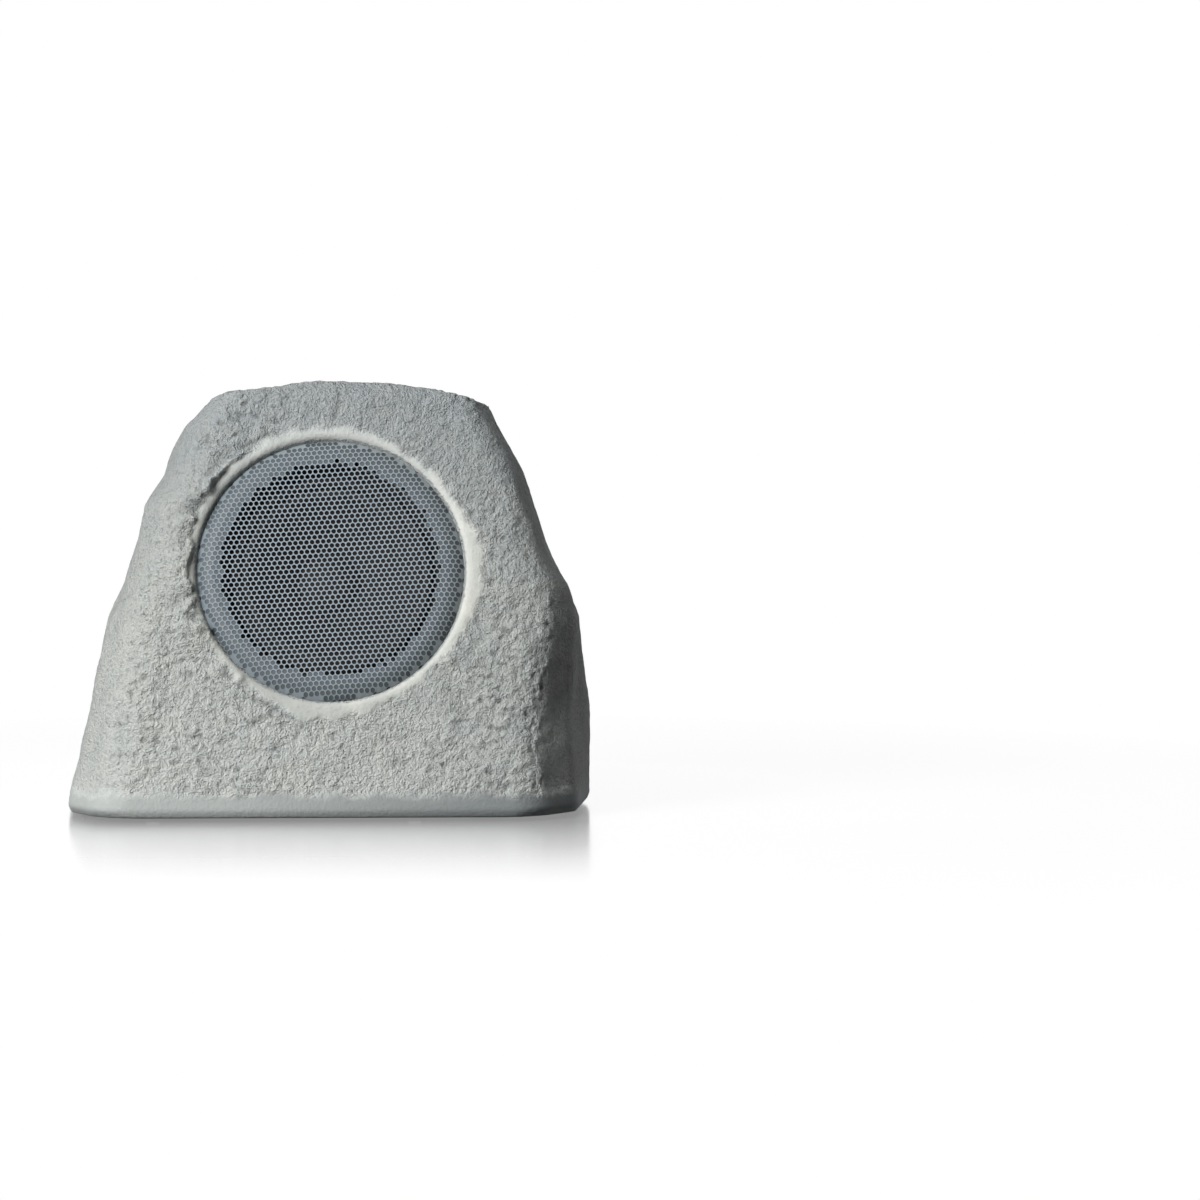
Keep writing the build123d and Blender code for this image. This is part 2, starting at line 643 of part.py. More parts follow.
def make_gland_body():
    """Threaded gland body with a hexagonal flange outside the wall."""
    body = disc(GLAND_SHANK, -gland_tail, NECK_END)
    body += hexagon(GLAND_SHANK + GLAND_FLANGE_MARGIN, 0, GLAND_FLANGE)
    body -= disc(GLAND_BORE, -gland_tail, NECK_END)
    return pad * (body - disc(SEAL_RADIUS + SEAL_CLEARANCE, GLAND_FLANGE, NECK_END))


def make_gland_seal():
    """Rubber sleeve that grips the cable."""
    return pad * ring(SEAL_BORE, SEAL_RADIUS, GLAND_FLANGE, NECK_END + SEAL_PROUD)


def make_gland_nut():
    """Cap nut that squeezes the seal."""
    end = NECK_END + SEAL_PROUD
    nut = hexagon(GLAND_SHANK + GLAND_CLEARANCE + NUT_WALL, GLAND_FLANGE + NUT_GAP, end + NUT_END)
    nut -= disc(GLAND_SHANK + GLAND_CLEARANCE, GLAND_FLANGE, end)
    return pad * (nut - disc(GLAND_BORE, end, end + NUT_END))


def make_gland_locknut():
    """Thin nut that holds the gland from inside."""
    nut = hexagon(GLAND_SHANK + LOCKNUT_MARGIN, -PAD_WALL - LOCKNUT_HEIGHT, -PAD_WALL)
    return pad * (nut - disc(GLAND_SHANK + GLAND_CLEARANCE, -FAR, 0))


def make_terminal_block():
    """Moulded two-pole block with a wire hole and two clamp screws for each pole."""
    body = slab(BLOCK_WIDTH, BLOCK_DEPTH, BLOCK_TOP - PLATE_TOP, 0, block_y, PLATE_TOP)
    wire = Rot(90, 0, 0) * Cylinder(WIRE_HOLE, 2 * BLOCK_DEPTH)
    body -= [Pos(side * WIRE_SPACING / 2, block_y, WIRE_Z) * wire for side in (-1, 1)]
    body -= copies(disc(CLAMP_RADIUS + THREAD_CLEARANCE, WIRE_Z, BLOCK_TOP), clamp_places)
    return body - Pos(0, block_y) * disc(BLOCK_SCREW_RADIUS + HOLE_CLEARANCE, PLATE_TOP, BLOCK_TOP)


def make_clamp_screws():
    """Grub screws that hold the wires in the block."""
    screw = disc(CLAMP_RADIUS, WIRE_Z + LEAD_RADIUS, BLOCK_TOP - CLAMP_RECESS)
    return Compound(copies(screw, clamp_places))


def make_block_screw():
    """Screw that holds the terminal block to the base plate."""
    screw = disc(BLOCK_SCREW_RADIUS, STANDOFF + BLOCK_SCREW_SKIN, BLOCK_TOP)
    return Pos(0, block_y) * (screw + disc(BLOCK_HEAD_RADIUS, BLOCK_TOP, BLOCK_TOP + BLOCK_HEAD_HEIGHT))


PIECES = {
    "rock_shell": make_rock_shell(),
    "grille": make_grille(),
    "driver_gasket": make_driver_gasket(),
    "driver_basket": make_driver_basket(),
    "driver_screws": make_driver_screws(),
    "cone": make_cone(),
    "surround": make_surround(),
    "dust_cap": make_dust_cap(),
    "voice_coil_former": make_voice_coil_former(),
    "voice_coil": make_voice_coil(),
    "spider": make_spider(),
    "top_plate": make_top_plate(),
    "magnet": make_magnet(),
    "pole_yoke": make_pole_yoke(),
    "terminal_strip": make_terminal_strip(),
    "terminal_tags": make_terminal_tags(),
    "lead_positive": make_lead(1),
    "lead_negative": make_lead(-1),
    "base_plate": make_base_plate(),
    "base_gasket": make_base_gasket(),
    "base_screws": make_base_screws(),
    "rubber_feet": make_rubber_feet(),
    "gland_body": make_gland_body(),
    "gland_seal": make_gland_seal(),
    "gland_nut": make_gland_nut(),
    "gland_locknut": make_gland_locknut(),
    "terminal_block": make_terminal_block(),
    "clamp_screws": make_clamp_screws(),
    "block_screw": make_block_screw(),
}

os.makedirs("parts", exist_ok=True)
for name, solid in PIECES.items():
    export_step(solid, f"parts/{name}.step")
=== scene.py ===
import json
import math
import random

import bpy
from mathutils import Matrix, Vector, noise


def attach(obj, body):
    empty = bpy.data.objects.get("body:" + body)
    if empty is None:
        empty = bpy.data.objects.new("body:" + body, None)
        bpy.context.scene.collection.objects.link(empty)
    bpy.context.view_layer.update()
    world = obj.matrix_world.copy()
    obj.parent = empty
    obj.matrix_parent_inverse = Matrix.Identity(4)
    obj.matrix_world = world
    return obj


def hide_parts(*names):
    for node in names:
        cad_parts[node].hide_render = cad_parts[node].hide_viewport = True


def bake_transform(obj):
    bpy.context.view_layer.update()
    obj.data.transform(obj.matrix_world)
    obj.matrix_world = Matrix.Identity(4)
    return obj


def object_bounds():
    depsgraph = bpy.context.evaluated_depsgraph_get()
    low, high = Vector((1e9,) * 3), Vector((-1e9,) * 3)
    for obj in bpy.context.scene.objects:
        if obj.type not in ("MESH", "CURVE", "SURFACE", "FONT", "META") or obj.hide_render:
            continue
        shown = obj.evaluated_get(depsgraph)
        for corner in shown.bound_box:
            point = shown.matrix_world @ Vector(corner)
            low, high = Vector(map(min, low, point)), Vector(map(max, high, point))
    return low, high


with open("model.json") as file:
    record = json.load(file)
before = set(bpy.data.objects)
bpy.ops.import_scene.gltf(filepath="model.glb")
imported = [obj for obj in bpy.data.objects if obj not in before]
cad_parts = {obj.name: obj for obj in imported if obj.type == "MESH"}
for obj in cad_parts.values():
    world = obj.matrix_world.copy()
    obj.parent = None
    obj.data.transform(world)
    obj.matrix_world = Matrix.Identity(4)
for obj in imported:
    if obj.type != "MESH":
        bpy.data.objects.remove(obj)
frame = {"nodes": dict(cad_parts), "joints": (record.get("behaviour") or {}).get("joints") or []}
cad_low, cad_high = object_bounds()

# The rock is one hollow resin casting, made in a mould taken from split stone and screwed to its base plate.
# Its broad front leans back round the grille and is gritty all over. The band at the foot and the bead
# round the grille are smooth, and to the left of the grille a crumbly bank stands up behind the bead.
MM = 0.001
face_out = Vector(frame["joints"][0]["axis"])
face_up = face_out.cross(Vector((1, 0, 0)))
grille_points = [vertex.co for vertex in frame["nodes"]["grille"].data.vertices]
grille_ups = [point.dot(face_up) for point in grille_points]
grille_outs = [point.dot(face_out) for point in grille_points]
grille_radius = (max(grille_ups) - min(grille_ups)) / 2 / MM
seat_centre = face_up * (max(grille_ups) + min(grille_ups)) / 2 + face_out * min(grille_outs)

# Sizes are in mm, and turns are degrees round the grille from its right, counter-clockwise.
# A wave is its height, the size of its lumps and its seed, and a pair is the two ends of a soft edge.
STONE_CELL = 1.25
STONE_FACES = 198000
ROCK_HEART = Vector((0, 0, 110))
FRONT_DEPTH = 15
CORNER_ROUND = 13.0
CORNER_ACROSS, CORNER_UP = (90, 106), (15, 30)

FACING_FRONT, FACING_UP, OFF_UNDERSIDE = (0.55, 0.92), (0.45, 0.90), (-0.9, -0.6)
BROAD_WAVES = ((1.5, 70, 0), (0.9, 24, 1))
BODY_SINK, BODY_UP = 0.6, (14, 60)
FLANK_RISE, FLANK_LUMP = 2.2, 38
GLAND_HEIGHT, GLAND_PAD = 55, (18, 32)
SWELLS = ((-84, 203, 26, 2.0), (-139, 42, 40, -2.0))

GRIT_WAVES = ((0.80, 10, 2), (0.85, 5.2, 4), (0.75, 3.0, 6))
GRIT_WEAR, LEAST_WEAR = ((0.7, 48, 3),), 0.4
TOP_GRIT, FLANK_GRIT = 0.6, 0.25
PIT_SIZE, PIT_EDGE, PIT_DEPTH = 3.4, (0.22, 0.50), 0.7
POCKED_SIZE, POCKED_EDGE = 34, (-0.35, 0.25)

FOOT_EDGE, FOOT_WAVES = (11, 18), ((3.0, 6, 7),)
FOOT_FILL, FOOT_FILL_DOWN = 1.8, (9, 3)

BEAD_GAP, BEAD_WIDTH, BEAD_WAVES = 0.8, 1.8, ((2.0, 24, 5), (3.0, 6, 11))
BEAD_INSIDE, BEAD_OUTSIDE = 2, 3.5
BEAD_SPREAD, SPREAD_TURN, SPREAD_POWER = 8.0, -4, 8
BEAD_SAG, SAG_POWER = 7.0, 6
BEAD_CREST, CREST_START, CREST_POWER = 4.5, 25, 2
WELL_EDGE = 2

BANK_START, BANK_END, BANK_RAMP = 118, 216, 14
BANK_GAP, BANK_STEP, BANK_WAVES = 2.5, 1.8, ((3.0, 10, 10),)
BANK_FLAT, BANK_WIDTH = 7, 22
BANK_HEIGHT, BANK_MEAN, BANK_CRUMBLE = 3.4, 0.75, 0.9
BANK_HOLLOW = (0.05, -0.45)
CRUMB_SIZE, CRUMB_FRACTAL = 11, (0.7, 2.1, 4)
KNOBS = ((146, 79, 4.0, 2.4), (231, 78, 4.0, 1.8), (222, 83, 5.0, 1.4))
CRACKS = (
    ((-50, 67), (-31, 77)),
    ((-66, 52), (-58, 66)),
    ((2, 84), (5, 98)),
    ((-42, -71), (-30, -76)),
    ((-26, -79), (-20, -82)),
    ((-17, -80), (-13, -84)),
)
CRACK_EDGE, CRACK_WANDER, CRACK_LUMP = (0.6, 2.4), 2.0, 5


def ease(low, high, value):
    """Smooth step from 0 at low to 1 at high."""
    share = min(max((value - low) / (high - low), 0), 1)
    return share * share * (3 - 2 * share)


def fade(full, none, value):
    """Smooth step from 1 at full to 0 at none."""
    return 1 - ease(full, none, value)


def mound(size, distance):
    """Share of a mound's height at a distance from its middle, flat on its inner fifth."""
    return fade(0.2 * size, size, distance)


def lumps(point, size, seed):
    """Noise from about -1 to 1 whose lumps have the given size in mm."""
    return noise.noise(point / size + Vector((seed, 2 * seed, 3 * seed)))


def waves(point, layers, level=0.0):
    """A level in mm with layers of lumps on it."""
    return sum((rise * lumps(point, size, seed) for rise, size, seed in layers), level)


def bake(piece):
    """Turns an object's modifiers into its mesh."""
    evaluated = piece.evaluated_get(bpy.context.evaluated_depsgraph_get())
    mesh = bpy.data.meshes.new_from_object(evaluated)
    piece.modifiers.clear()
    piece.data = mesh


def shape(piece, kind, **settings):
    """Adds a modifier with its settings."""
    modifier = piece.modifiers.new(kind.title(), kind)
    for name, value in settings.items():
        setattr(modifier, name, value)


def put(name, mesh):
    """Puts a mesh in the scene as an object."""
    piece = bpy.data.objects.new(name, mesh)
    bpy.context.scene.collection.objects.link(piece)
    return piece


def stone_relief(point, normal):
    """Height of the stone's relief in mm, and the shares of bead, foot band, pit and the pocket's painted
    shade.
    """
    place = point - seat_centre / MM
    at = Vector((place.x, place.dot(face_up)))
    radius = math.hypot(place.x, place.dot(face_up))
    turn = math.degrees(math.atan2(place.dot(face_up), place.x)) % 360
    on_front = place.dot(face_out) > -FRONT_DEPTH

    right = max(math.cos(math.radians(turn - SPREAD_TURN)), 0) ** SPREAD_POWER
    below = max(-math.sin(math.radians(turn)), 0) ** SAG_POWER
    above = max(math.sin(math.radians(turn - CREST_START)), 0) ** CREST_POWER
    bead_edge = BEAD_WIDTH + BEAD_SPREAD * right + BEAD_SAG * below + BEAD_CREST * above
    bead_edge += waves(point, BEAD_WAVES, grille_radius + BEAD_GAP)
    bead = fade(bead_edge - BEAD_INSIDE, bead_edge + BEAD_OUTSIDE, radius) if on_front else 0
    # The pocket inside the grille's radius takes painted shade.
    pocket_shade = fade(grille_radius - WELL_EDGE, grille_radius, radius) if on_front else 0
    foot = fade(*FOOT_EDGE, waves(point, FOOT_WAVES, point.z))
    rough = (1 - bead) * (1 - foot)

    front = ease(*FACING_FRONT, normal.dot(face_out))
    top = ease(*FACING_UP, normal.z)
    grit_wear_and_lit_bead = max(waves(point, GRIT_WEAR, 1.0), LEAST_WEAR)
    grit = rough * grit_wear_and_lit_bead * max(front, TOP_GRIT * top, FLANK_GRIT)

    height = rough * (waves(point, BROAD_WAVES) - BODY_SINK * ease(*BODY_UP, point.z))
    for x, z, size, rise in SWELLS:
        height += rough * rise * mound(size, math.hypot(point.x - x, point.z - z))
    from_gland = math.hypot(point.x, point.z - GLAND_HEIGHT)
    near_gland = fade(*GLAND_PAD, from_gland) if normal.y > 0 else 0
    height += rough * (1 - front) * (1 - near_gland) * FLANK_RISE * lumps(point, FLANK_LUMP, 12)
    height += grit * waves(point, GRIT_WAVES)
    pocked = max(ease(*POCKED_EDGE, lumps(point, POCKED_SIZE, 9)), above)
    pit = grit * ease(*PIT_EDGE, lumps(point, PIT_SIZE, 8)) * pocked

    if on_front:
        bank_edge = waves(point, BANK_WAVES, grille_radius + BANK_GAP + BEAD_CREST * above)
        bank = ease(BANK_START, BANK_START + BANK_RAMP, turn) * ease(BANK_END, BANK_END - BANK_RAMP, turn)
        bank *= ease(bank_edge, bank_edge + BANK_STEP, radius)
        bank *= fade(grille_radius + BANK_FLAT, grille_radius + BANK_WIDTH, radius)
        crumb = noise.fractal(point / CRUMB_SIZE, *CRUMB_FRACTAL)
        height += bank * BANK_HEIGHT * (BANK_MEAN + BANK_CRUMBLE * crumb)
        pit = max(pit, bank * ease(*BANK_HOLLOW, crumb))
        for angle, reach, size, rise in KNOBS:
            middle = Matrix.Rotation(math.radians(angle), 2) @ Vector((reach, 0))
            height += rise * mound(size, (at - middle).length)
        for start, end in CRACKS:
            along = Vector(end) - Vector(start)
            share = min(max((at - Vector(start)).dot(along) / along.length_squared, 0), 1)
            gap = (at - Vector(start) - along * share).length
            gap += CRACK_WANDER * abs(lumps(point, CRACK_LUMP, 13))
            pit = max(pit, rough * fade(*CRACK_EDGE, gap))

    height += FOOT_FILL * ease(*FOOT_FILL_DOWN, point.z) * ease(*OFF_UNDERSIDE, normal.z)
    height -= PIT_DEPTH * pit
    return height, {"bead": bead, "foot": foot, "pit": pit, "pocket_shade": pocket_shade}


rock = put("rock_stone", frame["nodes"]["rock_shell"].data.copy())
rock.data.materials.clear()
shape(rock, "REMESH", mode="VOXEL", voxel_size=STONE_CELL * MM)
shape(rock, "SMOOTH", factor=0.5, iterations=4)
bake(rock)
corner = rock.vertex_groups.new(name="corner")
for vertex in rock.data.vertices:
    point = vertex.co / MM
    corner.add([vertex.index], ease(*CORNER_ACROSS, point.x) * ease(*CORNER_UP, point.z), "REPLACE")
rounds = int((CORNER_ROUND / STONE_CELL) ** 2)
shape(rock, "SMOOTH", factor=0.5, iterations=rounds, vertex_group="corner")
bake(rock)
for name in ("bead", "foot", "pit", "pocket_shade"):
    rock.data.attributes.new(name, "FLOAT", "POINT")
normals = [vertex.normal.copy() for vertex in rock.data.vertices]
for vertex, normal in zip(rock.data.vertices, normals):
    point = vertex.co / MM
    if normal.dot(point - ROCK_HEART) > 0:
        height, shares = stone_relief(point, normal)
        vertex.co += normal * height * MM
        for name, share in shares.items():
            rock.data.attributes[name].data[vertex.index].value = share
shape(rock, "TRIANGULATE")
bake(rock)
shape(rock, "DECIMATE", ratio=min(1, STONE_FACES / len(rock.data.polygons)))
bake(rock)
for vertex in rock.data.vertices:
    vertex.co = [min(max(value, low), high) for value, low, high in zip(vertex.co, cad_low, cad_high)]
rock.data.shade_smooth()
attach(rock, "enclosure")
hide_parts("rock_shell")


def srgb(code):
    """Linear colour of an sRGB hex code."""
    values = [int(code[i : i + 2], 16) / 255 for i in (1, 3, 5)]
    return [v / 12.92 if v <= 0.04045 else ((v + 0.055) / 1.055) ** 2.4 for v in values] + [1]


def per_metre(size):
    """Scale of a pattern whose features have the given size in mm."""
    return 1 / (size * MM)


def material(name):
    """New material with an empty node tree."""
    made = bpy.data.materials.new(name)
    made.use_nodes = True
    made.node_tree.nodes.clear()
    return made


def add(made, kind, inputs, **settings):
    """Adds a shader node; an input is a value or the output socket that feeds it."""
    node = made.node_tree.nodes.new("ShaderNode" + kind)
    for name, value in settings.items():
        setattr(node, name, value)
    for key, value in inputs.items():
        if isinstance(value, bpy.types.NodeSocket):
            made.node_tree.links.new(value, node.inputs[key])
        else:
            node.inputs[key].default_value = value
    return node.outputs


def speckle(made, where, size, detail, **inputs):
    """Noise with features of the given size in mm."""
    inputs = {"Vector": where, "Scale": per_metre(size), "Detail": detail, **inputs}
    return add(made, "TexNoise", inputs)[0]


def ramp(made, value, start, end, first=0, last=1):
    """Maps a value from first at start to last at end, and holds it beyond them."""
    return add(made, "MapRange", {0: value, 1: start, 2: end, 3: first, 4: last})[0]


def mix(made, share, first, second):
    """Mixes two colours, each an sRGB hex code or a socket."""
    pair = [srgb(colour) if isinstance(colour, str) else colour for colour in (first, second)]
    return add(made, "Mix", {0: share, 6: pair[0], 7: pair[1]}, data_type="RGBA")[2]


def reckon(made, operation, *values):
    """Does one step of arithmetic on values and sockets."""
    return add(made, "Math", dict(enumerate(values)), operation=operation)[0]


def share_of(made, name):
    """Reads one of the shares that are kept on the mesh."""
    return add(made, "Attribute", {}, attribute_name=name)["Fac"]


def coat(made, **look):
    """Ends a material in one surface."""
    surface = add(made, "BsdfPrincipled", {name.replace("_", " "): value for name, value in look.items()})[0]
    add(made, "OutputMaterial", {"Surface": surface})


# Cast resin with a sprayed stone paint: a dry matt coat in cream, green grey and blue grey.
# The colour is darkened with painted shade in the pits, bank hollows and cracks and on the foot band, and the
# smooth bead is paler, with painted light where the light falls and painted shade away from it.
# Its sand is finer than the mesh.
CLOUD_SIZE, PATCH_SIZE, GRIT_SIZE, SAND_SIZE = 60, 15, 2.3, 1.0
CLOUD_SPAN, PATCH_SPAN, SAND_SPAN, SPECK_SPAN = (0.38, 0.62), (0.42, 0.66), (0.35, 0.65), (0.55, 0.68)
BLUE_GREY, GREEN_GREY, CREAM_GREY = "#a8aeae", "#b2b5b2", "#bcbdb7"
DARK_SAND, PALE_SAND, SAND_SHARE = "#8f9491", "#c6c8c4", 0.42
SPECK, SPECK_SHARE = "#6e726f", 0.75
SHADED_BEAD, LIT_BEAD, BEAD_SHARE = "#7d7f78", "#cccbc1", 0.7
BEAD_LIGHT_RISE, BEAD_LIGHT_SPAN, BEAD_MOTTLE = 1.4, (60 * MM, 345 * MM), 0.2
PIT_SHADE, PIT_SHADE_SHARE = "#5f625d", 0.5
LIT_FOOT, SHADED_FOOT, FOOT_SPAN = "#8f9391", "#626768", (-60 * MM, 130 * MM)
POCKET_PAINTED_SHADE = "#161718"
ROUGH_BUMP, SMOOTH_BUMP, BUMP_DEPTH, GRIT_WEIGHT = 0.95, 0.2, 2.3 * MM, 2.0
stone = material("stone_paint_sprayed_on_cast_resin")
where = add(stone, "TexCoord", {})["Object"]
across, _, upward = add(stone, "SeparateXYZ", {0: where})
cloud = speckle(stone, where, CLOUD_SIZE, detail=3)
patch = speckle(stone, where, PATCH_SIZE, detail=5)
grit = speckle(stone, where, GRIT_SIZE, detail=5, Roughness=0.62)
sand = speckle(stone, where, SAND_SIZE, detail=3)
patch_mix = ramp(stone, patch, *PATCH_SPAN)
grey = mix(stone, ramp(stone, cloud, *CLOUD_SPAN), BLUE_GREY, GREEN_GREY)
grey = mix(stone, patch_mix, grey, CREAM_GREY)
sandy = mix(stone, ramp(stone, sand, *SAND_SPAN), DARK_SAND, PALE_SAND)
grey = mix(stone, SAND_SHARE, grey, sandy)
grey = mix(stone, ramp(stone, grit, *SPECK_SPAN, 0, SPECK_SHARE), grey, SPECK)
# Painted light and shade on the bead: paler towards the top and the right, darker towards the bottom and the
# left, with a mottle.
on_bead = share_of(stone, "bead")
lit = reckon(stone, "MULTIPLY_ADD", upward, BEAD_LIGHT_RISE, across)
lit = reckon(stone, "MULTIPLY_ADD", patch_mix, BEAD_MOTTLE, ramp(stone, lit, *BEAD_LIGHT_SPAN))
grit_wear_and_lit_bead = mix(stone, lit, SHADED_BEAD, LIT_BEAD)
grey = mix(stone, reckon(stone, "MULTIPLY", on_bead, BEAD_SHARE), grey, grit_wear_and_lit_bead)
# Painted light and shade: paler towards the bottom, darker towards the top and towards the right.
for along, start, end, share, painted_light_tint in (
    (upward, 110, 20, 0.45, "#c9cbc7"),
    (upward, 120, 220, 0.48, "#878f95"),
    (across, 10, 140, 0.28, "#8b9496"),
):
    grey = mix(stone, ramp(stone, along, start * MM, end * MM, 0, share), grey, painted_light_tint)
# Painted shade: the pits, the bank's hollows and the cracks are darkened.
grey = mix(stone, reckon(stone, "MULTIPLY", share_of(stone, "pit"), PIT_SHADE_SHARE), grey, PIT_SHADE)
# Painted shade on the smooth foot band: darker than the stone above it, and darker still towards the right.
on_foot = share_of(stone, "foot")
band = mix(stone, ramp(stone, across, *FOOT_SPAN), LIT_FOOT, SHADED_FOOT)
grey = mix(stone, on_foot, grey, band)
# Painted shade: the seat ring inside the pocket, behind the grille, is made near-black.
grey = mix(stone, share_of(stone, "pocket_shade"), grey, POCKET_PAINTED_SHADE)
smooth = reckon(stone, "MAXIMUM", on_bead, on_foot)
sharp = ramp(stone, smooth, 0, 1, ROUGH_BUMP, SMOOTH_BUMP)
grain = reckon(stone, "MULTIPLY_ADD", grit, GRIT_WEIGHT, sand)
bumps = add(stone, "Bump", {"Strength": sharp, "Distance": BUMP_DEPTH, "Height": grain})[0]
coat(stone, Base_Color=grey, Roughness=0.82, IOR=1.45, Normal=bumps)
rock.data.materials.append(stone)

# The grille is a dished steel sheet with two thousand punched holes in staggered rows.
# Its shoulder bends down to the seat in the rock, and the rows stand a few degrees off level.
# Round the rim the holes are closed a little under the face by a floor, coloured dark grey as painted shade.
HOLE_PITCH = 3.0
HOLE_RADIUS = 1.3
HOLE_SIDES = 12
ROW_STEP = HOLE_PITCH * math.sqrt(3) / 2
ROW_TILT = 3.8
SHEET = 0.8
FLAT_RADIUS = grille_radius - 10.0
EDGE_HEIGHT = 1.5
CELL_REACH = grille_radius + 0.2 * HOLE_PITCH
HOLE_REACH = grille_radius - 0.45 * HOLE_PITCH
FILLED_RADIUS, FILLED_RAMP, FILLED_SEED = 61.0, 4, 4
FLOOR_RADIUS = HOLE_RADIUS - 0.05
FILL_DEPTH = 0.3
grille_rise = (max(grille_outs) - min(grille_outs)) / MM
shoulder_drop = grille_rise - EDGE_HEIGHT
shoulder_run = grille_radius - FLAT_RADIUS
shoulder_bend = (shoulder_run**2 + shoulder_drop**2) / (2 * shoulder_drop)


def dish(x, y, sunk):
    """Point on the grille's face or sunk under it, in metres, for a place in its flat pattern in mm."""
    radius = math.hypot(x, y)
    if radius > grille_radius:
        x, y = x * grille_radius / radius, y * grille_radius / radius
        radius = grille_radius
    past = max(radius - FLAT_RADIUS, 0)
    height = grille_rise - shoulder_bend + math.sqrt(shoulder_bend**2 - past**2) - sunk
    return seat_centre + (Vector((1, 0, 0)) * x + face_up * y + face_out * height) * MM


def grille_sheet():
    """Mesh of the perforated face: a ring round each hole, with a sunk floor where paint fills it."""
    points, faces, known, filled = [], [], {}, []
    tilt = Matrix.Rotation(math.radians(ROW_TILT), 2)
    chance = random.Random(FILLED_SEED)

    def rim(x, y, reaches, sunk=0.0):
        """Indices of a ring of points, whose distance from the middle alternates between two reaches."""
        corners = []
        for k in range(HOLE_SIDES):
            turn = math.radians(360 / HOLE_SIDES * k)
            place = (x + reaches[k % 2] * math.cos(turn), y + reaches[k % 2] * math.sin(turn))
            key = (round(place[0], 2), round(place[1], 2), sunk)
            if key not in known:
                known[key] = len(points)
                points.append(dish(*(tilt @ Vector(place)), sunk))
                filled.append(float(sunk > 0))
            corners.append(known[key])
        return corners

    rows = int(grille_radius / ROW_STEP) + 1
    columns = int(grille_radius / HOLE_PITCH) + 1
    for row in range(-rows, rows + 1):
        for column in range(-columns, columns + 1):
            x = (column + (row % 2) / 2) * HOLE_PITCH
            y = row * ROW_STEP
            reach = math.hypot(x, y)
            if reach > CELL_REACH:
                continue
            cell = rim(x, y, (HOLE_PITCH / 2, HOLE_PITCH / math.sqrt(3)))
            if reach > HOLE_REACH:
                faces.append(cell)
                continue
            rings = [cell, rim(x, y, (HOLE_RADIUS, HOLE_RADIUS))]
            if chance.random() < ease(FILLED_RADIUS - FILLED_RAMP, FILLED_RADIUS, reach):
                rings.append(rim(x, y, (FLOOR_RADIUS, FLOOR_RADIUS), FILL_DEPTH))
                faces.append(rings[2])
            for outer, inner in zip(rings, rings[1:]):
                for k in range(HOLE_SIDES):
                    after = (k + 1) % HOLE_SIDES
                    faces.append([outer[k], outer[after], inner[after], inner[k]])
    mesh = bpy.data.meshes.new("grille_sheet")
    mesh.from_pydata(points, [], faces)
    mesh.attributes.new("filled", "FLOAT", "POINT").data.foreach_set("value", filled)
    return mesh


grille = put("grille_sheet", grille_sheet())
shape(grille, "SOLIDIFY", thickness=SHEET * MM, offset=-1)
bake(grille)
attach(grille, "enclosure")
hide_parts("grille")

# Blue grey enamel on pressed steel, with stone paint that was sprayed past the rim on to the shoulder.
# The shoulder is painted darker on the left as painted shade and paler on the right as painted light.
WEAR_SIZE, FLECK_SIZE = 9, 0.7
DARK_ENAMEL, PALE_ENAMEL, SHOULDER_ENAMEL = "#747f87", "#858f96", "#68737a"
SHOULDER_SPAN = (58 * MM, 72 * MM)
OVERSPRAY, OVERSPRAY_SPAN = "#747c80", (0.10, 0.62)
SHOULDER_SHADE_LEFT, SHOULDER_LIGHT_RIGHT, SHOULDER_LIGHT_SPAN, SHOULDER_LIGHT_SHARE = "#59646a", "#a0a8aa", (-70 * MM, 70 * MM), 0.75
FILLED_HOLE_SHADE, FILLED_HOLE_SHADE_SHARE = "#30383d", 0.92
enamel = material("blue_grey_enamel_on_punched_steel")
where = add(enamel, "TexCoord", {})["Object"]
from_centre = add(enamel, "VectorMath", {0: where, 1: seat_centre}, operation="DISTANCE")["Value"]
shoulder = ramp(enamel, from_centre, *SHOULDER_SPAN)
wear = speckle(enamel, where, WEAR_SIZE, detail=5)
overspray = ramp(enamel, reckon(enamel, "MULTIPLY", wear, shoulder), *OVERSPRAY_SPAN)
blue = mix(enamel, wear, DARK_ENAMEL, PALE_ENAMEL)
blue = mix(enamel, shoulder, blue, SHOULDER_ENAMEL)
blue = mix(enamel, overspray, blue, OVERSPRAY)
across = add(enamel, "SeparateXYZ", {0: where})["X"]
# Painted shade on the shoulder's left and painted light on its right.
shoulder_light_and_shade = mix(enamel, ramp(enamel, across, *SHOULDER_LIGHT_SPAN), SHOULDER_SHADE_LEFT, SHOULDER_LIGHT_RIGHT)
blue = mix(enamel, reckon(enamel, "MULTIPLY", shoulder, SHOULDER_LIGHT_SHARE), blue, shoulder_light_and_shade)
# Painted shade: the sunk floors of the filled holes are dark grey.
in_hole = reckon(enamel, "MULTIPLY", share_of(enamel, "filled"), FILLED_HOLE_SHADE_SHARE)
blue = mix(enamel, in_hole, blue, FILLED_HOLE_SHADE)
fleck = speckle(enamel, where, FLECK_SIZE, detail=2)
bumps = add(enamel, "Bump", {"Strength": 0.2, "Distance": 0.1 * MM, "Height": fleck})[0]
coat(enamel, Base_Color=blue, Roughness=0.6, IOR=1.5, Normal=bumps)
grille.data.materials.append(enamel)


